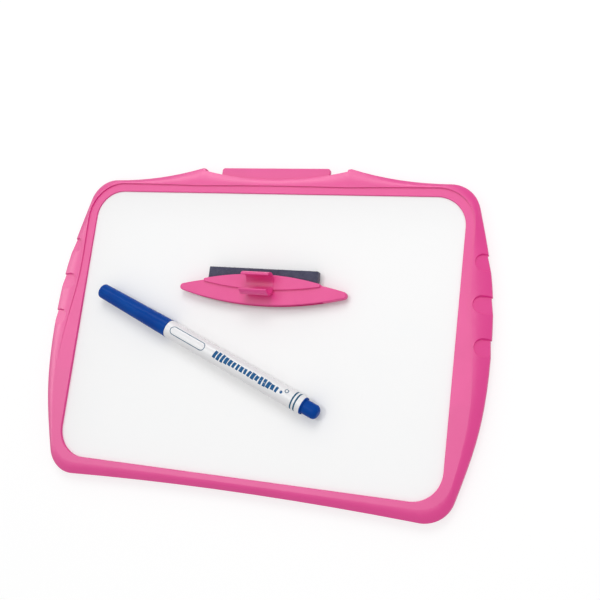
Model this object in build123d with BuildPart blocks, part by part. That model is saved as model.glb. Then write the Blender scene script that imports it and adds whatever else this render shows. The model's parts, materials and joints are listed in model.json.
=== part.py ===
"""Double-sided whiteboard with a dockable eraser and a slim capped marker, in millimetres.

The board lies on its rear face, +Z up, +Y towards the edge where the eraser docks.
The origin is under the middle of the whole object, on the surface that it lies on.
"""
from build123d import *
from math import cos, radians, sin, sqrt
import os

# Writing panel: a stiff core with a coated sheet on each face
window_width = 223.2
window_height = 159.2
window_radius = 16.0
panel_lap = 3.0
panel_clearance = 0.2
core_thickness = 4.2
sheet_thickness = 0.3

# Frame section, each height measured from the parting plane in mid-thickness
crest_height = 4.0
crown_height = 3.45
rim_bevel_height = 1.9
rim_height = 1.5
crown_share = 0.5
rim_bevel_share = 0.035
recess_share = 1.1
recess_depth = 0.8
recess_fade_y = -30.0
window_draft = 8.0
window_edge_radius = 0.4
parting_chamfer = 0.2

# Frame outline, seen from the front and measured from the middle of the window
peak = (45.5, 95.7)
peak_radius = 1.0
seat_radius = 184.0
seat_depth = 1.4
seat_half_width = 43.8
shoulder = (102.2, 87.5)
upper_corner = (118.3, 75.1)
upper_grip = (127.5, 35.5)
widest = (130.0, -2.0)
lower_grip = (127.6, -39.5)
lower_corner = (118.2, -78.1)
foot = (102.4, -89.9)
foot_arch = 2.5

# Crease between the flat inner band and the raised outer band, measured the same way
crease_peak = (45.5, 85.2)
crease_seat = (0, 85.05)
crease_shoulder = (96.4, 85.05)
crease_upper_corner = (117.2, 64.8)
crease_upper_grip = (118.0, 27.5)
crease_widest = (120.6, 3.5)
crease_lower_grip = (122.6, -26.5)
crease_lower_corner = (116.8, -69.8)
crease_foot = (99.8, -83.4)
crease_arch = 0.4

# Docking tongue on the top edge
tongue_width = 66.4
tongue_length = 7.3
tongue_thickness = 2.8
tongue_corner = 1.5
tongue_edge = 0.4

# Finger notches down each side: each is stepped at its upper end and fades out below
notch_steps = (49.2, 26.9, 4.7)
notch_length = 8.8
notch_fall = 1.1
notch_depth = 0.9
notch_draft = 25.0
notch_side_depth = 0.6
notch_inset = 1.1

# Pegs between the two frame halves, each halfway across the frame in its own direction
peg_angles = (30, 71, -12, -57)
peg_radius = 0.9
peg_height = 1.7
peg_clearance = 0.05

# Where the loose pieces lie on the front sheet, from the middle of the window
rest_gap = 0.15
eraser_place = (3.3, 22.65)
marker_place = (-96.7, 17.3)
marker_turn = -22.6

# Eraser holder: a flat lens with a raised middle on each face, measured from its tip line
lens_half_length = 54.9
lens_tip_radius = 1.9
lens_rear_bulge = 7.35
lens_half_thickness = 2.5
lens_tip_half_thickness = 1.7
lens_edge_radius = 0.5
raised_half_length = 34.6
raised_front = 0.05
raised_end_front = 3.35
raised_end_rear = 5.0
raised_rear = 8.75
raised_corner = 0.6
raised_half_thickness = 3.7
raised_edge_radius = 0.35
tongue_clearance = 0.25
tongue_side_play = 3.5
tongue_end_play = 0.5
slot_web = 3.8
eraser_peg_x = 42.5

# Felt pad and the tape that holds it
pad_width = 65.0
pad_thickness = 4.5
pad_reach = 12.25
pad_clearance = 0.05
tape_thickness = 0.2

# Marker, with lengths measured along it from the closed end of the cap
cap_length = 51.2
cap_mouth_radius = 5.2
cap_end_radius = 4.3
cap_end_round = 1.3
cap_end_wall = 1.6
cap_bore_radius = 3.45
cap_bore_length = 33.3
cap_fit = 0.1
flute_count = 8
flute_depth = 0.3
flute_length = 37.0
flute_radius = 2.4
marker_length = 153.3
barrel_radius = 5.0
barrel_end = 143.75
barrel_bore_radius = 4.1
barrel_bore_start = 54.0
neck_start = 34.5
neck_radius = 4.0
neck_bore_radius = 3.1
shoulder_gap = 0.15
plug_radius = 4.0
plug_round = 2.7
plug_collar_radius = 4.85
plug_collar_length = 0.7
plug_spigot_length = 8.0
inner_fit = 0.05
seal_start = 13.0
seal_end = 32.8
seal_end_wall = 0.8
seal_bore_radius = 2.7
holder_start = 22.0
holder_cone_end = 26.5
holder_nose_radius = 2.0
holder_radius = 2.6
holder_flange_radius = 3.8
holder_flange_length = 0.8
holder_end = 49.0
nib_start = 17.2
nib_end = 60.0
nib_radius = 1.6
nib_round = 1.2
reservoir_start = 56.0
reservoir_end = 135.0
reservoir_radius = 3.85
film_thickness = 0.13

# Pen clip on the eraser's front face
clip_offset = 2.4
clip_length = 16.0
clip_wall = 1.2
clip_mouth_angle = 42.0
clip_floor = 0.2
clip_foot_width = 8.6
clip_foot_sink = 0.5
clip_lip_radius = 0.55

# Levels and places worked out from the sizes above
parting_z = crest_height
panel_half = core_thickness / 2 + sheet_thickness
surface_z = parting_z + panel_half
panel_radius = window_radius + panel_lap
peak_sag = seat_radius - sqrt(seat_radius**2 - peak[0] ** 2)
seat = (0, peak[1] - peak_sag)
seat_sag = seat_radius - sqrt(seat_radius**2 - seat_half_width**2)
seat_floor = seat[1] - seat_depth
seat_end = (seat_half_width, seat_floor + seat_sag)
tongue_reach = seat_floor + tongue_length
tongue_half = tongue_thickness / 2
board_y = -(tongue_reach + foot[1]) / 2

eraser_z = surface_z + rest_gap + raised_half_thickness
lens_front_bulge = seat_radius - sqrt(seat_radius**2 - lens_half_length**2)
slot_floor = tongue_length + tongue_end_play - lens_front_bulge
pocket_floor = slot_floor + slot_web
clip_radius = cap_mouth_radius
clip_rise = raised_half_thickness + clip_floor + clip_radius

marker_z = surface_z + rest_gap + cap_mouth_radius
along_marker = Vector(cos(radians(marker_turn)), sin(radians(marker_turn)), 0)
across_marker = Vector(along_marker.Y, -along_marker.X, 0)
marker_origin = Vector(marker_place[0], marker_place[1] + board_y, marker_z)
marker_plane = Plane(marker_origin, x_dir=along_marker, z_dir=across_marker)
marker_axis = Axis(marker_origin, along_marker)


def board_plane(height):
    """A plane at a height above the parting plane, centred on the window."""
    return Plane((0, board_y, parting_z + height))


def eraser_plane(height=0.0):
    """A plane at a height above the eraser's mid-plane, centred on its tip line."""
    return Plane((eraser_place[0], eraser_place[1] + board_y, eraser_z + height))


def between(outer, inner, share):
    """A point part of the way from the outline to the crease."""
    return tuple(a + (b - a) * share for a, b in zip(outer, inner))


def band_loop(plane, share):
    """One closed loop of the outer band, from the outline (share 0) to the crease (share 1)."""
    crest = between(peak, crease_peak, share)
    top_end = between(shoulder, crease_shoulder, share)
    side_start = between(upper_corner, crease_upper_corner, share)
    side_end = between(lower_corner, crease_lower_corner, share)
    low_end = between(foot, crease_foot, share)
    grip = (
        between(upper_grip, crease_upper_grip, share),
        between(widest, crease_widest, share),
        between(lower_grip, crease_lower_grip, share),
    )
    arch = between((0, foot[1] + foot_arch), (0, crease_foot[1] + crease_arch), share)
    with BuildSketch(plane) as loop:
        with BuildLine():
            ThreePointArc((-crest[0], crest[1]), between(seat, crease_seat, share), crest)
            TangentArc(top_end, crest, tangent=(-1, 0))
            top_corner = TangentArc(top_end, side_start, tangent=(1, 0))
            low_corner = TangentArc(low_end, side_end, tangent=(1, 0))
            side_tangents = (top_corner % 1, (low_corner % 1) * -1)
            Spline(side_start, *grip, side_end, tangents=side_tangents)
            mirror(about=Plane.YZ)
            ThreePointArc((-low_end[0], low_end[1]), arch, low_end)
        make_face()
    return loop.sketch


def panel_outline(plane, lap, radius):
    """The window's rounded rectangle, grown by a lap on every side."""
    with BuildSketch(plane) as outline:
        RectangleRounded(window_width + 2 * lap, window_height + 2 * lap, radius)
    return outline.sketch


def reach(flat, start, angle):
    """Distance from a point inside a flat outline to its rim, in a direction in degrees."""
    ray = Vector(2 * widest[0], 0, 0).rotate(Axis.Z, angle)
    return flat.face().intersect(Edge.make_line(start, Vector(*start) + ray))[0].length


def band_height(share):
    """Height of the outer band above the parting plane, from the bevel to the crease."""
    if share < crown_share:
        rise = (crown_height - rim_bevel_height) / (crown_share - rim_bevel_share)
        return rim_bevel_height + rise * (share - rim_bevel_share)
    rise = (crest_height - crown_height) / (1 - crown_share)
    return crown_height + rise * (share - crown_share)


def lens_outline(plane):
    """The eraser seen from above: its front arc has the radius of the seat in the frame."""
    with BuildSketch(plane) as lens:
        with BuildLine():
            ThreePointArc((-lens_half_length, 0), (0, -lens_front_bulge), (lens_half_length, 0))
            ThreePointArc((-lens_half_length, 0), (0, lens_rear_bulge), (lens_half_length, 0))
        make_face()
        fillet(lens.vertices(), lens_tip_radius)
    return lens.sketch


def raised_outline(plane):
    """The raised middle of the eraser, a shorter lens with blunt ends."""
    ends = ((-raised_half_length, raised_end_front), (raised_half_length, raised_end_front),
            (raised_half_length, raised_end_rear), (-raised_half_length, raised_end_rear))
    with BuildSketch(plane) as raised:
        with BuildLine():
            ThreePointArc(ends[0], (0, raised_front), ends[1])
            Line(ends[1], ends[2])
            ThreePointArc(ends[2], (0, raised_rear), ends[3])
            Line(ends[3], ends[0])
        make_face()
        fillet(raised.vertices(), raised_corner)
    return raised.sketch


def crown_profile(rise):
    """Side view of half of the eraser, crowned from tip to tip, raised by a step."""
    side_plane = Plane(eraser_plane().origin, x_dir=(1, 0, 0), z_dir=(0, -1, 0))
    tip = lens_tip_half_thickness + rise
    with BuildSketch(side_plane) as profile:
        with BuildLine():
            ThreePointArc((-lens_half_length, tip), (0, lens_half_thickness + rise), (lens_half_length, tip))
            Polyline((lens_half_length, tip), (lens_half_length, 0), (-lens_half_length, 0),
                     (-lens_half_length, tip))
        make_face()
    return profile.sketch


def marker_profile(*points):
    """A profile beside the marker's axis, from pairs of length along it and radius."""
    with BuildSketch(marker_plane) as profile:
        Polygon(*points, align=None)
    return profile.sketch


# The region inside the crest that is sunk at the top and rises to the crest down the sides
with BuildPart() as recess:
    add(band_loop(board_plane(0), recess_share))
    extrude(amount=2 * crest_height)
    floor_start = (0, board_y + recess_fade_y, parting_z + crest_height)
    floor = Plane(floor_start, z_dir=(0, recess_depth, crease_peak[1] - recess_fade_y))
    split(bisect_by=floor, keep=Keep.TOP)

# Finger notches of the right side: a D of band tilted down to its step, and a slice of the rim
outline_flat = band_loop(Plane.XY, 0)
crease_flat = band_loop(Plane.XY, 1)
notch_radius = notch_length / 2

with BuildPart() as notches:
    for step_y in notch_steps:
        rim_x = reach(outline_flat, (0, step_y), 0)
        faded_x = reach(outline_flat, (0, step_y - notch_length), 0)
        crease_x = reach(crease_flat, (0, step_y), 0)
        inner_share = 1 - notch_inset / (rim_x - crease_x)
        outer_x = rim_x + (crease_x - rim_x) * rim_bevel_share
        rise = band_height(rim_bevel_share) - band_height(inner_share)
        outward = Vector(outer_x - crease_x - notch_inset, 0, rise)
        down_side = Vector(0, -notch_length, notch_fall)
        corner = Vector(outer_x, step_y + board_y, parting_z + rim_bevel_height - notch_depth)
        with BuildSketch(Plane(corner, x_dir=outward, z_dir=down_side.cross(outward))):
            with Locations((notch_radius - outward.length, -notch_radius)):
                Circle(notch_radius)
                Rectangle(2 * outward.length, notch_length, align=(Align.MIN, Align.CENTER))
        extrude(amount=crest_height, taper=-notch_draft)
        clear_x = rim_x + notch_radius
        with BuildSketch(board_plane(0)):
            Polygon((rim_x - notch_side_depth, step_y), (faded_x, step_y - notch_length),
                    (clear_x, step_y - notch_length), (clear_x, step_y), align=None)
        extrude(amount=crest_height)
    mirror(about=Plane.YZ)

# The docking tongue, one half of its thickness
with BuildPart() as tongue:
    with BuildSketch(board_plane(0)) as tongue_flat:
        with Locations((0, tongue_reach)):
            Rectangle(tongue_width, 2 * tongue_length, align=(Align.CENTER, Align.MAX))
        fillet(tongue_flat.vertices().group_by(Axis.Y)[-1], tongue_corner)
    extrude(amount=tongue_half)
    fillet(faces().sort_by(Axis.Z)[-1].edges(), tongue_edge)

# One half of the frame, front face up, before its pegs or sockets
window_edge_low = parting_z + crest_height - recess_depth - window_edge_radius

with BuildPart() as frame_half:
    extrude(band_loop(board_plane(0), 0), amount=rim_height)
    chamfer(edges().group_by(Axis.Z)[0], parting_chamfer)
    bevel_loop = band_loop(board_plane(rim_bevel_height), rim_bevel_share)
    loft(sections=[band_loop(board_plane(rim_height), 0), bevel_loop])
    crown_loop = band_loop(board_plane(crown_height), crown_share)
    loft(sections=[bevel_loop, crown_loop, band_loop(board_plane(crest_height), 1)])
    with BuildSketch(board_plane(0)) as rounded_peaks:
        add(outline_flat)
        fillet(rounded_peaks.vertices().group_by(Axis.Y)[-1], peak_radius)
    extrude(amount=crest_height, mode=Mode.INTERSECT)
    # The seat of the eraser's front edge, a little below the line between the peaks
    with BuildSketch(board_plane(0)):
        with BuildLine():
            seat_left = (-seat_end[0], seat_end[1])
            ThreePointArc(seat_left, (0, seat_floor), seat_end)
            Polyline(seat_end, (seat_end[0], peak[1]), (-seat_end[0], peak[1]), seat_left)
        make_face()
    extrude(amount=crest_height, mode=Mode.SUBTRACT)
    add(recess.part, mode=Mode.SUBTRACT)
    add(notches.part, mode=Mode.SUBTRACT)
    # The window, with drafted walls and a rounded edge
    extrude(panel_outline(board_plane(0), 0, window_radius),
            amount=crest_height, taper=-window_draft, mode=Mode.SUBTRACT)
    window_edge = edges(Select.LAST).filter_by(lambda edge: (edge @ 0.5).Z > window_edge_low)
    fillet(window_edge, window_edge_radius)

    # The docking tongue, and the pocket for the panel
    add(tongue.part)
    extrude(panel_outline(board_plane(0), panel_lap + panel_clearance, panel_radius),
            amount=panel_half, mode=Mode.SUBTRACT)

# Places of the pegs, halfway between the panel's edge and the frame's edge
panel_flat = panel_outline(Plane.XY, panel_lap, panel_radius)
peg_places = []
for angle in peg_angles + tuple(180 - angle for angle in peg_angles):
    middle = (reach(panel_flat, (0, 0), angle) + reach(outline_flat, (0, 0), angle)) / 2
    peg_places.append((middle * cos(radians(angle)), middle * sin(radians(angle))))

with BuildPart() as front_frame:
    add(frame_half.part)
    with BuildSketch(board_plane(0)):
        with Locations(*peg_places):
            Circle(peg_radius + peg_clearance)
    extrude(amount=peg_height + peg_clearance, mode=Mode.SUBTRACT)

with BuildPart() as rear_frame:
    add(mirror(frame_half.part, about=Plane.XY.offset(parting_z), mode=Mode.PRIVATE))
    with BuildSketch(board_plane(0)):
        with Locations(*peg_places):
            Circle(peg_radius)
    extrude(amount=peg_height)

# The panel, seated between the two halves
with BuildPart() as core_board:
    core_outline = panel_outline(board_plane(-core_thickness / 2), panel_lap, panel_radius)
    extrude(core_outline, amount=core_thickness)

with BuildPart() as front_writing_sheet:
    sheet_outline = panel_outline(board_plane(core_thickness / 2), panel_lap, panel_radius)
    extrude(sheet_outline, amount=sheet_thickness)

with BuildPart() as rear_writing_sheet:
    sheet_outline = panel_outline(board_plane(-panel_half), panel_lap, panel_radius)
    extrude(sheet_outline, amount=sheet_thickness)

# The eraser's holder, front half, before its clip
with BuildPart() as lens_body:
    extrude(lens_outline(eraser_plane()), amount=raised_half_thickness)
    extrude(crown_profile(0), amount=lens_half_length, both=True, mode=Mode.INTERSECT)
    fillet(faces().sort_by(Axis.Z)[-1].edges(), lens_edge_radius)

with BuildPart() as raised_body:
    extrude(raised_outline(eraser_plane()), amount=2 * raised_half_thickness)
    extrude(crown_profile(raised_half_thickness - lens_half_thickness), amount=lens_half_length,
            both=True, mode=Mode.INTERSECT)
    fillet(faces().sort_by(Axis.Z)[-1].edges(), raised_edge_radius)

with BuildPart() as eraser_hollows:
    with BuildSketch(eraser_plane()):
        with Locations((0, slot_floor)):
            Rectangle(tongue_width + 2 * tongue_side_play, 2 * lens_front_bulge,
                      align=(Align.CENTER, Align.MAX))
    extrude(amount=tongue_half + tongue_clearance)
    with BuildSketch(eraser_plane()):
        with Locations((0, pocket_floor)):
            Rectangle(pad_width + 2 * pad_clearance, 2 * raised_rear, align=(Align.CENTER, Align.MIN))
    extrude(amount=pad_thickness / 2 + pad_clearance)

with BuildPart() as eraser_front_shell:
    add(lens_body.part)
    add(raised_body.part)
    # Pen clip: two sprung fingers in one open ring, on a foot
    clip_origin = eraser_plane(clip_rise).origin + Vector(0, clip_offset, 0)
    tip_rise = (clip_radius + clip_wall / 2) * sin(radians(clip_mouth_angle))
    tip_side = (clip_radius + clip_wall / 2) * cos(radians(clip_mouth_angle))
    with BuildSketch(Plane(clip_origin, x_dir=(0, 1, 0), z_dir=(1, 0, 0))):
        Circle(clip_radius + clip_wall)
        Rectangle(clip_foot_width, clip_rise - lens_half_thickness + clip_foot_sink,
                  align=(Align.CENTER, Align.MAX))
        Circle(clip_radius, mode=Mode.SUBTRACT)
        Polygon((0, 0), (2 * tip_side, 2 * tip_rise), (-2 * tip_side, 2 * tip_rise), align=None,
                mode=Mode.SUBTRACT)
        with Locations((tip_side, tip_rise), (-tip_side, tip_rise)):
            Circle(clip_lip_radius)
    extrude(amount=clip_length / 2, both=True)
    add(eraser_hollows.part, mode=Mode.SUBTRACT)
    with BuildSketch(eraser_plane()):
        with Locations((-eraser_peg_x, 0), (eraser_peg_x, 0)):
            Circle(peg_radius + peg_clearance)
    extrude(amount=lens_tip_half_thickness / 2 + peg_clearance, mode=Mode.SUBTRACT)

with BuildPart() as eraser_rear_shell:
    add(lens_body.part)
    add(raised_body.part)
    add(eraser_hollows.part, mode=Mode.SUBTRACT)
    mirror(about=Plane.XY.offset(eraser_z), mode=Mode.REPLACE)
    with BuildSketch(eraser_plane()):
        with Locations((-eraser_peg_x, 0), (eraser_peg_x, 0)):
            Circle(peg_radius)
    extrude(amount=lens_tip_half_thickness / 2)

with BuildPart() as pad_tape:
    with BuildSketch(eraser_plane()):
        with Locations((0, pocket_floor)):
            Rectangle(pad_width, tape_thickness, align=(Align.CENTER, Align.MIN))
    extrude(amount=pad_thickness / 2, both=True)

with BuildPart() as eraser_pad:
    with BuildSketch(eraser_plane()):
        with Locations((0, pad_reach)):
            Rectangle(pad_width, pad_reach - pocket_floor - tape_thickness, align=(Align.CENTER, Align.MAX))
    extrude(amount=pad_thickness / 2, both=True)

# The marker's cap, fluted from its closed end, and the seal inside it
mouth_bore_radius = neck_radius + cap_fit
flute_fall = (cap_mouth_radius - cap_end_radius) / cap_length + flute_depth / flute_length

with BuildPart() as marker_cap:
    with BuildSketch(marker_plane) as cap_side:
        Polygon((0, 0), (0, cap_end_radius), (cap_length, cap_mouth_radius), (cap_length, 0), align=None)
        fillet(cap_side.vertices().group_by(Axis.X)[0].sort_by(Axis.Y)[-1], cap_end_round)
    revolve(axis=marker_axis)
    for flute in range(flute_count):
        flute_angle = (flute + 0.5) * 360 / flute_count
        outward = Vector(0, 0, 1).rotate(Axis((0, 0, 0), along_marker), flute_angle)
        start = marker_origin + outward * (cap_end_radius - flute_depth + flute_radius)
        with BuildSketch(Plane(start, z_dir=along_marker + outward * flute_fall)):
            Circle(flute_radius)
        extrude(amount=cap_length, mode=Mode.SUBTRACT)
    revolve(marker_profile((cap_end_wall, 0), (cap_end_wall, cap_bore_radius),
                           (cap_bore_length, cap_bore_radius), (cap_bore_length, mouth_bore_radius),
                           (cap_length, mouth_bore_radius), (cap_length, 0)),
            axis=marker_axis, mode=Mode.SUBTRACT)

with BuildPart() as cap_inner_seal:
    seal_radius = cap_bore_radius - inner_fit
    revolve(marker_profile((seal_start, 0), (seal_start, seal_radius), (seal_end, seal_radius),
                           (seal_end, seal_bore_radius), (seal_start + seal_end_wall, seal_bore_radius),
                           (seal_start + seal_end_wall, 0)),
            axis=marker_axis)

# The marker's body
with BuildPart() as marker_barrel:
    barrel_start = cap_length + shoulder_gap
    revolve(marker_profile((neck_start, neck_bore_radius), (neck_start, neck_radius),
                           (barrel_start, neck_radius),
                           (barrel_start, barrel_radius), (barrel_end, barrel_radius),
                           (barrel_end, barrel_bore_radius), (barrel_bore_start, barrel_bore_radius),
                           (barrel_bore_start, neck_bore_radius)),
            axis=marker_axis)

with BuildPart() as nib_holder:
    holder_bore = nib_radius + inner_fit
    flange_start = neck_start - holder_flange_length
    stem_radius = neck_bore_radius - inner_fit
    revolve(marker_profile((holder_start, holder_bore), (holder_start, holder_nose_radius),
                           (holder_cone_end, holder_radius), (flange_start, holder_radius),
                           (flange_start, holder_flange_radius), (neck_start, holder_flange_radius),
                           (neck_start, stem_radius), (holder_end, stem_radius), (holder_end, holder_bore)),
            axis=marker_axis)

with BuildPart() as marker_nib:
    with BuildSketch(marker_plane) as nib_side:
        Polygon((nib_start, 0), (nib_start, nib_radius), (nib_end, nib_radius), (nib_end, 0), align=None)
        fillet(nib_side.vertices().group_by(Axis.X)[0].sort_by(Axis.Y)[-1], nib_round)
    revolve(axis=marker_axis)

with BuildPart() as ink_reservoir:
    nib_hole = nib_radius + inner_fit
    revolve(marker_profile((reservoir_start, nib_hole), (reservoir_start, reservoir_radius),
                           (reservoir_end, reservoir_radius), (reservoir_end, 0),
                           (nib_end + inner_fit, 0), (nib_end + inner_fit, nib_hole)),
            axis=marker_axis)

with BuildPart() as reservoir_film:
    film_radius = reservoir_radius + film_thickness
    revolve(marker_profile((reservoir_start, reservoir_radius), (reservoir_start, film_radius),
                           (reservoir_end, film_radius), (reservoir_end, reservoir_radius)),
            axis=marker_axis)

with BuildPart() as marker_end_plug:
    spigot_radius = barrel_bore_radius - inner_fit
    collar_end = barrel_end + plug_collar_length
    with BuildSketch(marker_plane) as plug_side:
        Polygon((barrel_end - plug_spigot_length, 0), (barrel_end - plug_spigot_length, spigot_radius),
                (barrel_end, spigot_radius), (barrel_end, plug_collar_radius),
                (collar_end, plug_collar_radius), (collar_end, plug_radius),
                (marker_length, plug_radius), (marker_length, 0), align=None)
        fillet(plug_side.vertices().group_by(Axis.X)[-1].sort_by(Axis.Y)[-1], plug_round)
    revolve(axis=marker_axis)

pieces = {
    "front_frame": front_frame,
    "rear_frame": rear_frame,
    "core_board": core_board,
    "front_writing_sheet": front_writing_sheet,
    "rear_writing_sheet": rear_writing_sheet,
    "eraser_front_shell": eraser_front_shell,
    "eraser_rear_shell": eraser_rear_shell,
    "pad_tape": pad_tape,
    "eraser_pad": eraser_pad,
    "marker_cap": marker_cap,
    "cap_inner_seal": cap_inner_seal,
    "marker_barrel": marker_barrel,
    "nib_holder": nib_holder,
    "marker_nib": marker_nib,
    "ink_reservoir": ink_reservoir,
    "reservoir_film": reservoir_film,
    "marker_end_plug": marker_end_plug,
}

os.makedirs("parts", exist_ok=True)
for name, piece in pieces.items():
    piece.part.label = name
    export_step(piece.part, f"parts/{name}.step")
    print(name, round(piece.part.volume, 1), len(piece.faces()))
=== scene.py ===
# %% [markdown]
# A small double-sided whiteboard, dressed for a photograph. The solids come from the CAD model:
# this script only gives them their plastics, felt and print, a light and a camera. Each step has
# a short note like this one first, then one or more cells of code that print what they made.

import json
from math import atan2, degrees, pi, radians

import bmesh
import bpy
from mathutils import Matrix, Vector


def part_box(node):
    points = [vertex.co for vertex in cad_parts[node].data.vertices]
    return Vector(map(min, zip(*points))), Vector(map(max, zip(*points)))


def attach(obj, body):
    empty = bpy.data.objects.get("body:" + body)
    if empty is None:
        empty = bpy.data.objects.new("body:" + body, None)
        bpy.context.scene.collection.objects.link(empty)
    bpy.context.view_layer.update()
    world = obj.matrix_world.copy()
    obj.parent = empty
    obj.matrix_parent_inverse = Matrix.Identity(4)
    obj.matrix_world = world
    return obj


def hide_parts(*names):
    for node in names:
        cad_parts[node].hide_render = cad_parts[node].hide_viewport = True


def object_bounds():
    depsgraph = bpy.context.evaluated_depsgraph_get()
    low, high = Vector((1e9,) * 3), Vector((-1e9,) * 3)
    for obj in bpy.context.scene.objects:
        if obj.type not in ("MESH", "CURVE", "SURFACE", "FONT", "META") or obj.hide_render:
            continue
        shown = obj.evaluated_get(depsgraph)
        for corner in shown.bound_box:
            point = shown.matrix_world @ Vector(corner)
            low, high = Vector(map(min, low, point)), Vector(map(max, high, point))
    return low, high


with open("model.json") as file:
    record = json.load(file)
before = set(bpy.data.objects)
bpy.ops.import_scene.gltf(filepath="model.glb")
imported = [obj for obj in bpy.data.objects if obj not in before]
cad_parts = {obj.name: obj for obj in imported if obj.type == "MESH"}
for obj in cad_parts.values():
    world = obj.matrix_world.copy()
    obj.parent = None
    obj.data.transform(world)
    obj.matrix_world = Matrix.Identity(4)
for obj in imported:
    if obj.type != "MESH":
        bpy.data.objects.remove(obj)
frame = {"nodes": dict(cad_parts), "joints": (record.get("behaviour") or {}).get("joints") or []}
first_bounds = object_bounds()
nodes = frame["nodes"]
mm_per_metre = 1000
print("pieces from the model:", ", ".join(sorted(nodes)))

# %% [markdown]
# The camera stands where the photograph was taken from: to the right of the board and high above
# it, turned a little. It could be moved by eye until the picture fits, but perspective fools the
# eye. Its place and turn were worked out from the four corners of the writing window instead,
# whose real size is known, so that the picture and the model line up.

# %% Place the camera
scene = bpy.context.scene
camera_place = Vector((0.18411, -0.06542, 0.44829))
camera_turn = (radians(12.29), radians(18.444), radians(7.267))

camera = bpy.data.objects.new("camera", bpy.data.cameras.new("camera"))
camera.location = camera_place
camera.rotation_euler = camera_turn
camera.data.sensor_width = 36.0
camera.data.lens = 52.03
scene.collection.objects.link(camera)
scene.camera = camera
print("camera", round(camera_place.length, 3), "m from the origin")

# %% [markdown]
# The lamps. The photograph is a studio picture on white. A studio could be built as a real white
# box around the board, with walls to model. Here a few flat lamps do what its windows would. One,
# above and behind, gives the soft shadows in front of the marker and the eraser. The three others
# are only seen as reflections: they whiten the flat faces and the left grip, and none stands on
# the right, so the right grip keeps its full colour.

# %% Hang the lamps
scene.view_settings.view_transform = "Standard"


def add_lamp(name, place, aim, width, height, watts):
    """A flat lamp of a width and a height that faces a point."""
    lamp = bpy.data.lights.new(name, "AREA")
    lamp.shape = "RECTANGLE"
    lamp.size = width
    lamp.size_y = height
    lamp.energy = watts
    holder = bpy.data.objects.new(name, lamp)
    holder.location = place
    holder.rotation_euler = (Vector(aim) - Vector(place)).to_track_quat("-Z", "Y").to_euler()
    scene.collection.objects.link(holder)
    return holder


key_lamp = add_lamp("key_lamp", place=(-0.32, 0.05, 0.85), aim=(-0.32, 0.05, 0.0),
                    width=0.74, height=0.56, watts=3.4)
left_lamp = add_lamp("left_lamp", place=(-0.78, 0.05, 0.36), aim=(-0.10, 0.0, 0.0),
                     width=0.50, height=0.26, watts=1.8)
back_lamp = add_lamp("back_lamp", place=(-0.30, 0.72, 0.50), aim=(0.0, 0.08, 0.0),
                     width=0.65, height=0.28, watts=2.8)
fill_lamp = add_lamp("fill_lamp", place=(0.10, 0.52, 0.72), aim=(0.02, 0.0, 0.0),
                     width=0.44, height=0.44, watts=2.3)
for glossy_lamp in (key_lamp, left_lamp, back_lamp):
    glossy_lamp.visible_diffuse = False
fill_lamp.visible_glossy = False

# %% [markdown]
# A kit for node trees. The room, the plastics, the felt and the print are all trees of small
# nodes, and a tree that is built call by call is hard to read. These helpers let one call make a
# node and fill it: another node's output is linked, and any other value is written in.

# %% A kit for node trees


def plug(tree, socket, value):
    """Links an output to a socket, or writes a plain value there."""
    if isinstance(value, bpy.types.NodeSocket):
        tree.links.new(value, socket)
    else:
        socket.default_value = value


def feed(tree, node, **values):
    """Fills a node's inputs by name, where an underscore stands for a space."""
    for name, value in values.items():
        plug(tree, node.inputs[name.replace("_", " ")], value)


def add_node(tree, kind, **values):
    """A new node: names in small letters are its settings, the others are its inputs."""
    node = tree.nodes.new(kind)
    for name in filter(str.islower, values):
        setattr(node, name, values[name])
    feed(tree, node, **{name: value for name, value in values.items() if not name.islower()})
    return node


def maths(tree, operation, *terms):
    """The result of one Math node over outputs and plain numbers."""
    node = add_node(tree, "ShaderNodeMath", operation=operation)
    for socket, term in zip(node.inputs, terms):
        plug(tree, socket, term)
    return node.outputs["Value"]


print("node kit ready")

# %% [markdown]
# The room. A white world lights every side evenly, which a ring of lamps could only come near. It
# is white wherever the camera sees it, directly or in gloss, and dimmer as a light, so that pale
# faces don't turn into flat white. Light Path tells the two uses of the world apart.

# %% Whiten the room


def is_seen(tree):
    """1 for the rays that show the room, directly, in gloss or through a clear piece, else 0."""
    rays = add_node(tree, "ShaderNodeLightPath").outputs
    in_view = maths(tree, "MAXIMUM", rays["Is Camera Ray"], rays["Is Glossy Ray"])
    return maths(tree, "MAXIMUM", in_view, rays["Is Transmission Ray"])


room_as_light = 0.71
room_as_seen = 1.0
world = bpy.data.worlds.new("studio")
scene.world = world
world.use_nodes = True
room = world.node_tree
strength = add_node(room, "ShaderNodeMapRange", Value=is_seen(room), To_Min=room_as_light,
                    To_Max=room_as_seen)
feed(room, room.nodes["Background"], Color=(1, 1, 1, 1), Strength=strength.outputs["Result"])
print("room: light", room_as_light, "and white", room_as_seen)

# %% [markdown]
# The floor is a sheet of white paper. Plain paper would look grey beside the white room, so part
# of what is seen of it is a glow, and the rest is real paper that still takes the shadow. Away
# from the board the glow takes over, and the floor runs into the room with no line between them.
# A curved backdrop, as studios have, would hide that line too, but only from one side.

# %% Lay the floor


def new_material(name):
    """A material, its node tree and its Principled shader."""
    material = bpy.data.materials.new(name)
    material.use_nodes = True
    return material, material.node_tree, material.node_tree.nodes["Principled BSDF"]


floor_half = 2.0
floor_gap = 0.0002
floor_mesh = bpy.data.meshes.new("studio_floor")
floor_mesh.from_pydata(
    [(-floor_half, -floor_half, 0), (floor_half, -floor_half, 0), (floor_half, floor_half, 0),
     (-floor_half, floor_half, 0)], [], [(0, 1, 2, 3)])
floor = bpy.data.objects.new("studio_floor", floor_mesh)
floor.location.z = first_bounds[0][2] - floor_gap
scene.collection.objects.link(floor)
print("floor at", round(floor.location.z * mm_per_metre, 2), "mm")

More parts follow.
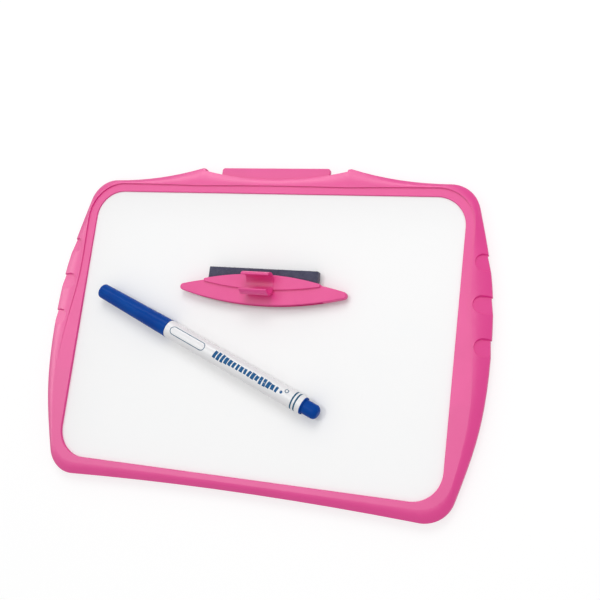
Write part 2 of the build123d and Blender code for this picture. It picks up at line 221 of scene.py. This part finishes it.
# %% Make the floor's paper
paper, tree, skin = new_material("studio_paper")
feed(tree, skin, Base_Color=(0.90, 0.90, 0.90, 1), Roughness=1.0)
place = add_node(tree, "ShaderNodeTexCoord").outputs["Object"]
distance = add_node(tree, "ShaderNodeVectorMath", operation="LENGTH", Vector=place)
glow_share = add_node(tree, "ShaderNodeMapRange", Value=distance.outputs["Value"],
                      From_Min=0.35, From_Max=1.0, To_Min=0.62, To_Max=1.0)
glow = add_node(tree, "ShaderNodeEmission", Strength=1.12)
paper_and_glow = add_node(
    tree, "ShaderNodeMixShader", Fac=maths(tree, "MULTIPLY", is_seen(tree), glow_share.outputs["Result"]))
plug(tree, paper_and_glow.inputs[1], skin.outputs["BSDF"])
plug(tree, paper_and_glow.inputs[2], glow.outputs["Emission"])
feed(tree, tree.nodes["Material Output"], Surface=paper_and_glow.outputs["Shader"])
floor_mesh.materials.append(paper)
print("paper with", len(tree.nodes), "nodes")

# %% [markdown]
# Patterns. Real surfaces differ a little from place to place, and noise says where. A painted
# picture could say it too, but it would need each piece unwrapped. Noise on Object coordinates is
# solid: it runs through the piece as grain runs through wood, and it moves with the piece. An
# effect that several materials share is a group, made once and placed with its own values.

# %% A kit for patterns


def new_group(name, kind, inputs, outputs):
    """A node group with named sockets: the tree, what comes in, and its output node."""
    tree = bpy.data.node_groups.new(name, kind)
    for label, socket, value in inputs:
        item = tree.interface.new_socket(label, in_out="INPUT", socket_type="NodeSocket" + socket)
        if value is not None:
            item.default_value = value
    for label, socket in outputs:
        tree.interface.new_socket(label, in_out="OUTPUT", socket_type="NodeSocket" + socket)
    return tree, tree.nodes.new("NodeGroupInput").outputs, tree.nodes.new("NodeGroupOutput")


def noise(tree, place, **values):
    """Cloudy noise, roughly from 0 to 1."""
    return add_node(tree, "ShaderNodeTexNoise", Vector=place, **values).outputs["Fac"]


def contrast(tree, value, low, high):
    """Stretches the part of a value between two levels over 0 to 1."""
    return add_node(tree, "ShaderNodeMapRange", Value=value, From_Min=low,
                    From_Max=high).outputs["Result"]


def blend(tree, share, first, second):
    """A colour that passes from the first to the second as the share grows."""
    return add_node(tree, "ShaderNodeMix", data_type="RGBA", Factor=share, A=first,
                    B=second).outputs["Result"]


def fine_relief(tree, height, strength, depth):
    """A normal that bends the light as a fine relief would, without moving the surface."""
    return add_node(tree, "ShaderNodeBump", Height=height, Strength=strength,
                    Distance=depth).outputs["Normal"]


print("pattern kit ready")

# %% [markdown]
# Moulded plastic is never one flat colour. Its skin follows the steel of the mould: a fine pebble
# that blurs reflections, and a slow drift of shade where the melt flowed and cooled. A modelled
# pebble would take millions of faces, so it only bends the light here. One node group makes both,
# and the frame, the eraser, the cap and the barrel each use it with their own values. It gives out
# a colour, a roughness and a normal; the shader stays in each material.

# %% Node group: moulded skin
moulded_skin, given, result = new_group(
    "moulded_skin", "ShaderNodeTree",
    [("Colour", "Color", (0.8, 0.8, 0.8, 1)),
     ("Flow Colour", "Color", (0.7, 0.7, 0.7, 1)),
     ("Flow Size", "Float", 0.03),
     ("Roughness", "Float", 0.4),
     ("Roughness Drift", "Float", 0.06),
     ("Pebble Size", "Float", 0.0005),
     ("Pebble Height", "Float", 0.12)],
    [("Colour", "Color"), ("Roughness", "Float"), ("Normal", "Vector")])
middle_of_noise = 0.5
pebble_depth = 0.00002
place = add_node(moulded_skin, "ShaderNodeTexCoord").outputs["Object"]
flow = noise(moulded_skin, place, Scale=maths(moulded_skin, "DIVIDE", 1.0, given["Flow Size"]),
             Detail=3.0, Roughness=0.55, Distortion=0.8)
shade = blend(moulded_skin, contrast(moulded_skin, flow, low=0.32, high=0.68),
              given["Colour"], given["Flow Colour"])
off_middle = maths(moulded_skin, "SUBTRACT", flow, middle_of_noise)
drifting = maths(moulded_skin, "MULTIPLY_ADD", off_middle, given["Roughness Drift"],
                 given["Roughness"])
pebble = noise(moulded_skin, place, Scale=maths(moulded_skin, "DIVIDE", 1.0, given["Pebble Size"]),
               Detail=2.0, Roughness=0.5)
feed(moulded_skin, result, Colour=shade, Roughness=drifting,
     Normal=fine_relief(moulded_skin, pebble, given["Pebble Height"], pebble_depth))
print("group", moulded_skin.name, "with", len(moulded_skin.nodes), "nodes")

# %% [markdown]
# A moulded material is then one group and one Principled shader. Each plastic could have a tree of
# its own, but one function with named values keeps them alike and easy to compare. The pink of the
# frame is written almost free of green, because the reflected lamps add white to a glossy face:
# where none of them is reflected, as on the right grip, the full pink shows. The eraser's pink has
# more green and less shine, and the marker's milky inner pieces let some light in.

# %% Materials: moulded plastic


def use_group(tree, group, **values):
    """Places a node group in a material, fills its inputs and gives its outputs."""
    return add_node(tree, "ShaderNodeGroup", node_tree=group, **values).outputs


def moulded(name, colour, flow_colour, roughness, flow_size, shine=0.5, softness=0.0,
            pebble_height=0.12):
    """Moulded plastic with its own colours, roughness, shade drift, shine and pebble."""
    light_reach = 0.002
    material, tree, skin = new_material(name)
    made = use_group(tree, moulded_skin, Colour=(*colour, 1), Flow_Colour=(*flow_colour, 1),
                     Flow_Size=flow_size, Roughness=roughness, Pebble_Height=pebble_height)
    feed(tree, skin, Base_Color=made["Colour"], Roughness=made["Roughness"], Normal=made["Normal"],
         Subsurface_Weight=softness, Subsurface_Scale=light_reach, Specular_IOR_Level=shine)
    return material


frame_pink = moulded("frame_pink", colour=(0.75, 0.014, 0.25), flow_colour=(0.72, 0.012, 0.235),
                     roughness=0.40, flow_size=0.03, shine=0.9)
eraser_pink = moulded("eraser_pink", colour=(0.78, 0.055, 0.275), flow_colour=(0.75, 0.048, 0.26),
                      roughness=0.42, flow_size=0.015, shine=0.45)
cap_blue = moulded("cap_blue", colour=(0.002, 0.062, 0.33), flow_colour=(0.002, 0.048, 0.29),
                   roughness=0.22, flow_size=0.012, shine=0.05)
barrel_white = moulded("barrel_white", colour=(0.83, 0.83, 0.84), flow_colour=(0.80, 0.805, 0.82),
                       roughness=0.28, flow_size=0.02)
milky = moulded("milky_plastic", colour=(0.80, 0.79, 0.74), flow_colour=(0.74, 0.73, 0.68),
                roughness=0.45, flow_size=0.006, softness=0.3)
tape_foam = moulded("tape_foam", colour=(0.72, 0.70, 0.62), flow_colour=(0.66, 0.64, 0.57),
                    roughness=0.8, flow_size=0.004, pebble_height=0.6)
wrap_film = moulded("wrap_film", colour=(0.70, 0.73, 0.78), flow_colour=(0.62, 0.66, 0.74),
                    roughness=0.25, flow_size=0.005)
print("materials so far:", [material.name for material in bpy.data.materials])

# %% Give the plastics to their pieces


def wear(material, *names):
    """Gives a material to nodes of the model."""
    for name in names:
        mesh = nodes[name].data
        mesh.materials.clear()
        mesh.materials.append(material)
        print(name, "wears", material.name)


wear(frame_pink, "front_frame", "rear_frame")
wear(eraser_pink, "eraser_front_shell", "eraser_rear_shell")
wear(cap_blue, "marker_cap", "marker_end_plug")
wear(barrel_white, "marker_barrel")
wear(milky, "cap_inner_seal", "nib_holder")
wear(tape_foam, "pad_tape")
wear(wrap_film, "reservoir_film")

# %% [markdown]
# The writing sheets are white film under a hard gloss. A new one is nearly perfect, but the gloss
# has long faint wipe marks, which only show as a change of roughness, and the white has the ghost
# of old ink, almost too faint to see. A plain white would do from afar, but up close it looks
# like paper. A group holds both marks, since the two sheets share it.

# %% Node group: wiped film
wiped_film, given, result = new_group(
    "wiped_film", "ShaderNodeTree",
    [("White", "Color", (0.9, 0.9, 0.9, 1)),
     ("Ghost", "Color", (0.87, 0.88, 0.9, 1)),
     ("Ghost Amount", "Float", 0.35),
     ("Gloss", "Float", 0.12),
     ("Wipe", "Float", 0.08)],
    [("Colour", "Color"), ("Roughness", "Float"), ("Normal", "Vector")])
wipe_slant = radians(24)
place = add_node(wiped_film, "ShaderNodeTexCoord").outputs["Object"]
along_wipes = add_node(wiped_film, "ShaderNodeMapping", Vector=place, Rotation=(0, 0, wipe_slant),
                       Scale=(6, 90, 1)).outputs["Vector"]
wipes = noise(wiped_film, along_wipes, Scale=1.0, Detail=5.0, Roughness=0.6, Distortion=0.3)
smear = noise(wiped_film, place, Scale=22.0, Detail=4.0, Roughness=0.6, Distortion=1.2)
ghost_share = maths(wiped_film, "MULTIPLY", contrast(wiped_film, smear, low=0.52, high=0.80),
                    given["Ghost Amount"])
ripple = noise(wiped_film, place, Scale=60.0, Detail=1.0)
feed(wiped_film, result,
     Colour=blend(wiped_film, ghost_share, given["White"], given["Ghost"]),
     Roughness=maths(wiped_film, "MULTIPLY_ADD", wipes, given["Wipe"], given["Gloss"]),
     Normal=fine_relief(wiped_film, ripple, strength=0.05, depth=0.0001))
print("group", wiped_film.name, "with", len(wiped_film.nodes), "nodes")

# %% Materials: the two sheets
ghost_amounts = {"front_writing_sheet": 0.25, "rear_writing_sheet": 0.5}
for name, ghost_amount in ghost_amounts.items():
    material, tree, skin = new_material(name.replace("writing_sheet", "film"))
    film = use_group(tree, wiped_film, Ghost_Amount=ghost_amount)
    feed(tree, skin, Base_Color=film["Colour"], Roughness=film["Roughness"], Normal=film["Normal"])
    wear(material, name)

# %% [markdown]
# Fibres. The core board is pressed fibreboard, and the nib and the reservoir are bonded fibre
# soaked in ink. Single fibres could be modelled as hairs, but these are pressed flat and mostly
# hidden, so a pattern is enough: noise stretched along one direction reads as strands. The three
# pieces share one group, each with its own colours and its own size of strand.

# %% Node group: pressed fibre
pressed_fibre, given, result = new_group(
    "pressed_fibre", "ShaderNodeTree",
    [("Light", "Color", (0.5, 0.4, 0.3, 1)),
     ("Dark", "Color", (0.3, 0.2, 0.1, 1)),
     ("Strand Turn", "Vector", (0, 0, 0)),
     ("Strand Scale", "Vector", (200, 2000, 2000)),
     ("Relief", "Float", 0.4)],
    [("Colour", "Color"), ("Normal", "Vector")])
strand_depth = 0.0001
place = add_node(pressed_fibre, "ShaderNodeTexCoord").outputs["Object"]
turned = add_node(pressed_fibre, "ShaderNodeMapping", Vector=place, Rotation=given["Strand Turn"])
stretched = add_node(pressed_fibre, "ShaderNodeVectorMath", operation="MULTIPLY")
plug(pressed_fibre, stretched.inputs[0], turned.outputs["Vector"])
plug(pressed_fibre, stretched.inputs[1], given["Strand Scale"])
strands = noise(pressed_fibre, stretched.outputs["Vector"], Scale=1.0, Detail=4.0, Roughness=0.65)
feed(pressed_fibre, result,
     Colour=blend(pressed_fibre, contrast(pressed_fibre, strands, low=0.3, high=0.7),
                  given["Dark"], given["Light"]),
     Normal=fine_relief(pressed_fibre, strands, given["Relief"], strand_depth))
print("group", pressed_fibre.name, "with", len(pressed_fibre.nodes), "nodes")

# %% Materials: fibreboard, nib and reservoir
marker_joint = next(joint for joint in frame["joints"] if joint["name"] == "cap_pull")
marker_along = Vector(marker_joint["axis"]).normalized()
marker_angle = atan2(marker_along.y, marker_along.x)


def fibrous(name, light, dark, roughness, turn, scale):
    """A dull fibrous material whose strands run along the turned X axis."""
    material, tree, skin = new_material(name)
    fibre = use_group(tree, pressed_fibre, Light=(*light, 1), Dark=(*dark, 1),
                      Strand_Turn=(0, 0, turn), Strand_Scale=scale)
    feed(tree, skin, Base_Color=fibre["Colour"], Normal=fibre["Normal"], Roughness=roughness)
    return material


wear(fibrous("core_fibreboard", light=(0.50, 0.37, 0.24), dark=(0.34, 0.23, 0.14), roughness=0.9,
             turn=0.0, scale=(300, 900, 2500)), "core_board")
wear(fibrous("inked_nib", light=(0.010, 0.035, 0.30), dark=(0.004, 0.014, 0.14), roughness=0.75,
             turn=-marker_angle, scale=(400, 4000, 4000)), "marker_nib")
wear(fibrous("inked_reservoir", light=(0.03, 0.07, 0.42), dark=(0.008, 0.02, 0.18), roughness=0.85,
             turn=-marker_angle, scale=(150, 2500, 2500)), "ink_reservoir")
print("marker lies at", round(degrees(marker_angle), 2), "degrees")

# %% [markdown]
# The eraser's pad is dense felt: a soft block with rounded, slightly uneven faces and loose fibres
# that stand off it. Sculpting would make such a surface, but not the same one each time. Here the
# block is a plain box with bevelled edges, cut fine enough to take the felt's unevenness from a
# noise texture. It stands for the plain CAD pad, and stays inside its box.

# %% Felt pad block
pad_low, pad_high = (Vector(corner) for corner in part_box("eraser_pad"))
pad_size = pad_high - pad_low
pad_cuts = (90, 14, 6)
pad_mesh = bpy.data.meshes.new("felt_pad")
pad_build = bmesh.new()
bmesh.ops.create_cube(pad_build, size=1.0)
for vertex in pad_build.verts:
    vertex.co = Vector(a * b for a, b in zip(vertex.co, pad_size)) + (pad_low + pad_high) / 2
bmesh.ops.bevel(pad_build, geom=list(pad_build.edges), offset=0.0004, segments=3, profile=0.5,
                affect="EDGES")
for axis, cuts in enumerate(pad_cuts):
    crossing = [edge for edge in pad_build.edges
                if abs(edge.verts[0].co[axis] - edge.verts[1].co[axis]) > pad_size[axis] / 2]
    bmesh.ops.subdivide_edges(pad_build, edges=crossing, cuts=cuts, use_grid_fill=True)
bmesh.ops.recalc_face_normals(pad_build, faces=pad_build.faces)
pad_build.to_mesh(pad_mesh)
pad_build.free()
for polygon in pad_mesh.polygons:
    polygon.use_smooth = True
felt_pad = bpy.data.objects.new("felt_pad", pad_mesh)
scene.collection.objects.link(felt_pad)
print("felt block:", len(pad_mesh.polygons), "faces")

# %% [markdown]
# A bump in the material would only bend the light, and the pad's outline would stay as straight as
# a ruler. A Displace modifier moves the points themselves, along their normals, by a cloud texture
# as fine as tufts of felt. Its middle level is at the top of the texture, so points only ever
# sink, and the felt can't grow out of the pad's box. The result is then made the plain mesh,
# because a finished piece has no modifier left on it.

# %% Felt surface, by displacement


def bake_modifiers(piece):
    """Turns a piece's evaluated shape into its plain mesh and drops the modifiers."""
    depsgraph = bpy.context.evaluated_depsgraph_get()
    plain = bpy.data.meshes.new_from_object(piece.evaluated_get(depsgraph))
    plain.name = piece.name
    piece.modifiers.clear()
    piece.data = plain


unevenness = bpy.data.textures.new("felt_unevenness", "CLOUDS")
unevenness.noise_scale = 0.0011
unevenness.noise_depth = 3
lumps = felt_pad.modifiers.new("unevenness", "DISPLACE")
lumps.texture = unevenness
lumps.texture_coords = "LOCAL"
lumps.strength = 0.00010
lumps.mid_level = 1.0
bake_modifiers(felt_pad)
print("felt pad is", [round(side * mm_per_metre, 2) for side in felt_pad.dimensions], "mm")

# %% [markdown]
# Loose fibres repeat by the thousand. A hair system could grow them, but the export keeps only
# mesh, so Geometry Nodes scatter them: points on the felt's faces, a short bent hair on each,
# turned at random, all made real at the end. The seed is fixed, so the runs look alike, but they
# aren't quite the same: a few of the block's faces can come in another order, and the draws
# follow that order, so about one hair in a hundred can land elsewhere.

# %% Node tree: felt fuzz, one bent hair
felt_fuzz, given, result = new_group(
    "felt_fuzz", "GeometryNodeTree",
    [("Geometry", "Geometry", None),
     ("Hairs per cm2", "Float", 160.0),
     ("Hair Length", "Float", 0.0009),
     ("Hair Radius", "Float", 0.000018),
     ("Seed", "Int", 7),
     ("Material", "Material", None)],
    [("Geometry", "Geometry")])
half = 0.5
arch = 0.45
hair_middle = add_node(felt_fuzz, "ShaderNodeCombineXYZ",
                       X=maths(felt_fuzz, "MULTIPLY", given["Hair Length"], half),
                       Z=maths(felt_fuzz, "MULTIPLY", given["Hair Length"], arch))
hair_end = add_node(felt_fuzz, "ShaderNodeCombineXYZ", X=given["Hair Length"])
hair_path = add_node(felt_fuzz, "GeometryNodeCurveQuadraticBezier", Resolution=4, Start=(0, 0, 0),
                     Middle=hair_middle.outputs["Vector"], End=hair_end.outputs["Vector"])
hair_ring = add_node(felt_fuzz, "GeometryNodeCurvePrimitiveCircle", Resolution=3,
                     Radius=given["Hair Radius"])
hair = add_node(felt_fuzz, "GeometryNodeCurveToMesh", Curve=hair_path.outputs["Curve"],
                Profile_Curve=hair_ring.outputs["Curve"], Fill_Caps=True)
hair_length = felt_fuzz.interface.items_tree["Hair Length"].default_value
print("the longest hair is", round(hair_length * mm_per_metre, 2), "mm from end to end")

# %% Node tree: felt fuzz, scattered


def random_between(tree, low, high, seed):
    """A random vector between two others, for each point."""
    return add_node(tree, "FunctionNodeRandomValue", data_type="FLOAT_VECTOR", Min=low, Max=high,
                    Seed=seed).outputs["Value"]


cm2_per_m2 = 10000.0
lean = 0.7
scatter = add_node(felt_fuzz, "GeometryNodeDistributePointsOnFaces", distribute_method="RANDOM",
                   Mesh=given["Geometry"], Seed=given["Seed"],
                   Density=maths(felt_fuzz, "MULTIPLY", given["Hairs per cm2"], cm2_per_m2))
spin = random_between(felt_fuzz, low=(-lean, -lean, 0), high=(lean, lean, 2 * pi),
                      seed=given["Seed"])
turn = add_node(felt_fuzz, "FunctionNodeRotateRotation", rotation_space="LOCAL",
                Rotation=scatter.outputs["Rotation"], Rotate_By=spin)
size = add_node(felt_fuzz, "FunctionNodeRandomValue", data_type="FLOAT", Min=0.5, Max=1.0)
hairs = add_node(felt_fuzz, "GeometryNodeInstanceOnPoints", Points=scatter.outputs["Points"],
                 Instance=hair.outputs["Mesh"], Rotation=turn.outputs["Rotation"],
                 Scale=size.outputs["Value"])
real_hairs = add_node(felt_fuzz, "GeometryNodeRealizeInstances", Geometry=hairs.outputs["Instances"])
coated = add_node(felt_fuzz, "GeometryNodeSetMaterial", Geometry=real_hairs.outputs["Geometry"],
                  Material=given["Material"])
feed(felt_fuzz, result, Geometry=coated.outputs["Geometry"])
print("tree", felt_fuzz.name, "with", len(felt_fuzz.nodes), "nodes")

# %% [markdown]
# The felt's colour. The pad is a dark bluish grey, made of fibres of slightly different shades.
# One colour would look like rubber, so two sizes of noise are multiplied, and where both are high
# a paler shade shows. The sheen is the light that loose fibres catch at a glancing angle.

# %% Material: felt
felt, tree, skin = new_material("felt")
place = add_node(tree, "ShaderNodeTexCoord").outputs["Object"]
fleck = noise(tree, place, Scale=1700.0, Detail=4.0, Roughness=0.7)
cloud = noise(tree, place, Scale=420.0, Detail=2.0)
pale_share = contrast(tree, maths(tree, "MULTIPLY", fleck, cloud), low=0.12, high=0.42)
feed(tree, skin,
     Base_Color=blend(tree, pale_share, (0.058, 0.058, 0.100, 1), (0.090, 0.090, 0.146, 1)),
     Normal=fine_relief(tree, fleck, strength=0.5, depth=0.0001),
     Roughness=0.95, Specular_IOR_Level=0.2, Sheen_Weight=0.25, Sheen_Roughness=0.5)
felt_pad.data.materials.append(felt)
print("felt made")

# %% Grow the fuzz


def set_inputs(modifier, **values):
    """Sets a Geometry Nodes modifier's inputs by name, through each socket's identifier."""
    sockets = {item.name: item.identifier for item in modifier.node_group.interface.items_tree
               if item.item_type == "SOCKET" and item.in_out == "INPUT"}
    for name, value in values.items():
        modifier[sockets[name.replace("_", " ")]] = value


fuzz = bpy.data.objects.new("felt_fuzz", felt_pad.data.copy())
scene.collection.objects.link(fuzz)
growth = fuzz.modifiers.new("growth", "NODES")
growth.node_group = felt_fuzz
set_inputs(growth, Material=felt)
bake_modifiers(fuzz)
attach(felt_pad, "eraser")
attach(fuzz, "eraser")
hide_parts("eraser_pad")
print("fuzz:", len(fuzz.data.polygons), "faces")

# %% [markdown]
# The barrel's print is screen printed: flat ink a few hundredths of a millimetre thick. It could
# be a picture wrapped on the barrel, but a picture blurs up close and needs the barrel unwrapped.
# Here it is real thin geometry, laid out flat as on a printing plate, then rolled onto the barrel
# by one Set Position node. What repeats, the strokes and the bands, is instanced. The marks are
# plain: a pill outline, a row of strokes, a dot, a small ring and two straight bands.

# %% Node tree: barrel print
barrel_print, given, result = new_group(
    "barrel_print", "GeometryNodeTree",
    [("Barrel Radius", "Float", 0.00502),
     ("Pill Start", "Float", 0.0549),
     ("Pill Length", "Float", 0.0240),
     ("Pill Height", "Float", 0.0047),
     ("Pill Line", "Float", 0.00042),
     ("Stroke Start", "Float", 0.0866),
     ("Stroke Count", "Int", 17),
     ("Stroke Pitch", "Float", 0.00258),
     ("Stroke Width", "Float", 0.00180),
     ("Stroke Height", "Float", 0.0050),
     ("Dot Place", "Float", 0.1309),
     ("Dot Radius", "Float", 0.00085),
     ("Ring Place", "Float", 0.1334),
     ("Ring Radius", "Float", 0.0010),
     ("Band Place", "Float", 0.1384),
     ("Band Pitch", "Float", 0.0021),
     ("Band Width", "Float", 0.00090),
     ("Seed", "Int", 11),
     ("Line Ink", "Material", None),
     ("Stroke Ink", "Material", None)],
    [("Geometry", "Geometry")])
print("the print's sizes and inks:", ", ".join(barrel_print.interface.items_tree.keys()))

# %% Print: helpers for flat artwork


def along_barrel(x, y=0.0):
    """A place along the barrel (x) and round it (y), while the artwork is flat."""
    return add_node(barrel_print, "ShaderNodeCombineXYZ", X=x, Y=y).outputs["Vector"]


def put_at(geometry, place):
    """Moves flat artwork to a place."""
    return add_node(barrel_print, "GeometryNodeTransform", Geometry=geometry,
                    Translation=place).outputs["Geometry"]


def ribbon(curve, width):
    """A flat ribbon of a width that follows a flat curve."""
    ends = [along_barrel(maths(barrel_print, "MULTIPLY", width, share)) for share in (-half, half)]
    section = add_node(barrel_print, "GeometryNodeCurvePrimitiveLine", Start=ends[0], End=ends[1])
    return add_node(barrel_print, "GeometryNodeCurveToMesh", Curve=curve,
                    Profile_Curve=section.outputs["Curve"]).outputs["Mesh"]


def bar(width, height, rows):
    """A flat upright bar, cut into rows so that it can bend round the barrel."""
    return add_node(barrel_print, "GeometryNodeMeshGrid", Size_X=width, Size_Y=height,
                    Vertices_X=2, Vertices_Y=rows + 1).outputs["Mesh"]


def repeated(piece, count, start, pitch, **variation):
    """Copies of a piece at an even pitch along the barrel."""
    row = add_node(barrel_print, "GeometryNodeMeshLine", mode="OFFSET", Count=count,
                   Start_Location=along_barrel(start), Offset=along_barrel(pitch))
    return add_node(barrel_print, "GeometryNodeInstanceOnPoints", Points=row.outputs["Mesh"],
                    Instance=piece, **variation).outputs["Instances"]


print("artwork helpers ready")

# %% Print: the pill outline
pill_rounding = 0.49
pill_box = add_node(barrel_print, "GeometryNodeCurvePrimitiveQuadrilateral",
                    Width=given["Pill Length"], Height=given["Pill Height"])
pill_round = add_node(barrel_print, "GeometryNodeFilletCurve", mode="POLY", Count=8,
                      Curve=pill_box.outputs["Curve"],
                      Radius=maths(barrel_print, "MULTIPLY", given["Pill Height"], pill_rounding))
pill_dense = add_node(barrel_print, "GeometryNodeResampleCurve", mode="COUNT", Count=72,
                      Curve=pill_round.outputs["Curve"])
pill_middle = maths(barrel_print, "MULTIPLY_ADD", given["Pill Length"], half, given["Pill Start"])
pill = put_at(ribbon(pill_dense.outputs["Curve"], given["Pill Line"]), along_barrel(pill_middle))
print("pill drawn")

# %% Print: the row of strokes, each with its own size and lean
strokes = repeated(
    bar(given["Stroke Width"], given["Stroke Height"], rows=5),
    count=given["Stroke Count"], start=given["Stroke Start"], pitch=given["Stroke Pitch"],
    Scale=random_between(barrel_print, low=(0.85, 0.55, 1), high=(1.25, 1.0, 1),
                         seed=given["Seed"]),
    Rotation=random_between(barrel_print, low=(0, 0, -0.22), high=(0, 0, 0.10),
                            seed=given["Seed"]))
print("strokes drawn")

# %% Print: the dot and the small ring
ring_height = 0.0021
dot_disc = add_node(barrel_print, "GeometryNodeMeshCircle", fill_type="NGON", Vertices=16,
                    Radius=given["Dot Radius"])
dot = put_at(dot_disc.outputs["Mesh"], along_barrel(given["Dot Place"]))
ring_curve = add_node(barrel_print, "GeometryNodeCurvePrimitiveCircle", Resolution=20,
                      Radius=given["Ring Radius"])
ring = put_at(ribbon(ring_curve.outputs["Curve"], given["Pill Line"]),
              along_barrel(given["Ring Place"], ring_height))
print("dot and ring drawn")

# %% Print: the two bands, each one turn round the barrel
one_turn = maths(barrel_print, "MULTIPLY", given["Barrel Radius"], 2 * pi)
bands = repeated(bar(given["Band Width"], one_turn, rows=72), count=2, start=given["Band Place"],
                 pitch=given["Band Pitch"])
print("bands drawn")

# %% Print: one ink each, made real
inked = []
for ink_name, marks in (("Line Ink", [pill, ring, bands]), ("Stroke Ink", [strokes, dot])):
    joined = add_node(barrel_print, "GeometryNodeJoinGeometry")
    for mark in marks:
        plug(barrel_print, joined.inputs["Geometry"], mark)
    real = add_node(barrel_print, "GeometryNodeRealizeInstances",
                    Geometry=joined.outputs["Geometry"])
    inked.append(add_node(barrel_print, "GeometryNodeSetMaterial", Geometry=real.outputs["Geometry"],
                          Material=given[ink_name]).outputs["Geometry"])
artwork = add_node(barrel_print, "GeometryNodeJoinGeometry")
for marks in inked:
    plug(barrel_print, artwork.inputs["Geometry"], marks)
print("inks given:", len(inked))

# %% Print: rolled onto the barrel
spot = add_node(barrel_print, "GeometryNodeInputPosition").outputs["Position"]
flat = add_node(barrel_print, "ShaderNodeSeparateXYZ", Vector=spot).outputs
angle = maths(barrel_print, "DIVIDE", flat["Y"], given["Barrel Radius"])
across, up = (maths(barrel_print, "MULTIPLY", maths(barrel_print, wave, angle),
                    given["Barrel Radius"]) for wave in ("SINE", "COSINE"))
rolled = add_node(barrel_print, "ShaderNodeCombineXYZ", X=flat["X"], Y=across, Z=up)
roll = add_node(barrel_print, "GeometryNodeSetPosition", Geometry=artwork.outputs["Geometry"],
                Position=rolled.outputs["Vector"])
feed(barrel_print, result, Geometry=roll.outputs["Geometry"])
print("tree", barrel_print.name, "with", len(barrel_print.nodes), "nodes")

# %% [markdown]
# Screen ink is pressed through a fine mesh, so it lies evenly but thins in tiny specks where the
# threads were. It is duller than the barrel under it. A plain colour would do from afar, but up
# close it looks like a sticker, so a very fine noise blends the ink's colour with a thinner shade
# of it. Two inks are needed: a greener blue for the lines and a deeper one for the strokes.

# %% Materials: printing inks


def screen_ink(name, colour, thin):
    """Dull ink that thins in fine specks."""
    material, tree, skin = new_material(name)
    place = add_node(tree, "ShaderNodeTexCoord").outputs["Object"]
    specks = contrast(tree, noise(tree, place, Scale=2500.0, Detail=1.0), low=0.55, high=0.75)
    feed(tree, skin, Base_Color=blend(tree, specks, (*colour, 1), (*thin, 1)), Roughness=0.38,
         Specular_IOR_Level=0.15)
    return material


line_ink = screen_ink("line_ink", colour=(0.004, 0.085, 0.17), thin=(0.015, 0.14, 0.26))
stroke_ink = screen_ink("stroke_ink", colour=(0.001, 0.085, 0.24), thin=(0.004, 0.13, 0.33))
print("inks made")

# %% [markdown]
# The artwork is rolled round the X axis, with its start at the origin. The object could be moved
# to the marker, but here it stays at the origin and hangs from the marker's body.
# So the mesh is moved instead: turned a little about the barrel, as in the photograph, then swung
# to the marker's slant. The place comes from the reservoir, whose middle is known.

# %% Print the barrel
marker_centre = (Vector(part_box("ink_reservoir")[0]) + Vector(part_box("ink_reservoir")[1])) / 2
reservoir_middle = 0.0955
marker_start = marker_centre - marker_along * reservoir_middle
print_roll = radians(8)
print_mesh = bpy.data.meshes.new("barrel_print")
print_mesh.from_pydata([(0, 0, 0)], [], [])
print_piece = bpy.data.objects.new("barrel_print", print_mesh)
scene.collection.objects.link(print_piece)
press = print_piece.modifiers.new("press", "NODES")
press.node_group = barrel_print
set_inputs(press, Line_Ink=line_ink, Stroke_Ink=stroke_ink)
bake_modifiers(print_piece)
onto_barrel = (Matrix.Translation(marker_start) @ Matrix.Rotation(marker_angle, 4, "Z")
               @ Matrix.Rotation(-print_roll, 4, "X"))
print_piece.data.transform(onto_barrel)
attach(print_piece, "marker_pen")
print("print:", len(print_piece.data.polygons), "faces, starts at",
      [round(value, 4) for value in marker_start])
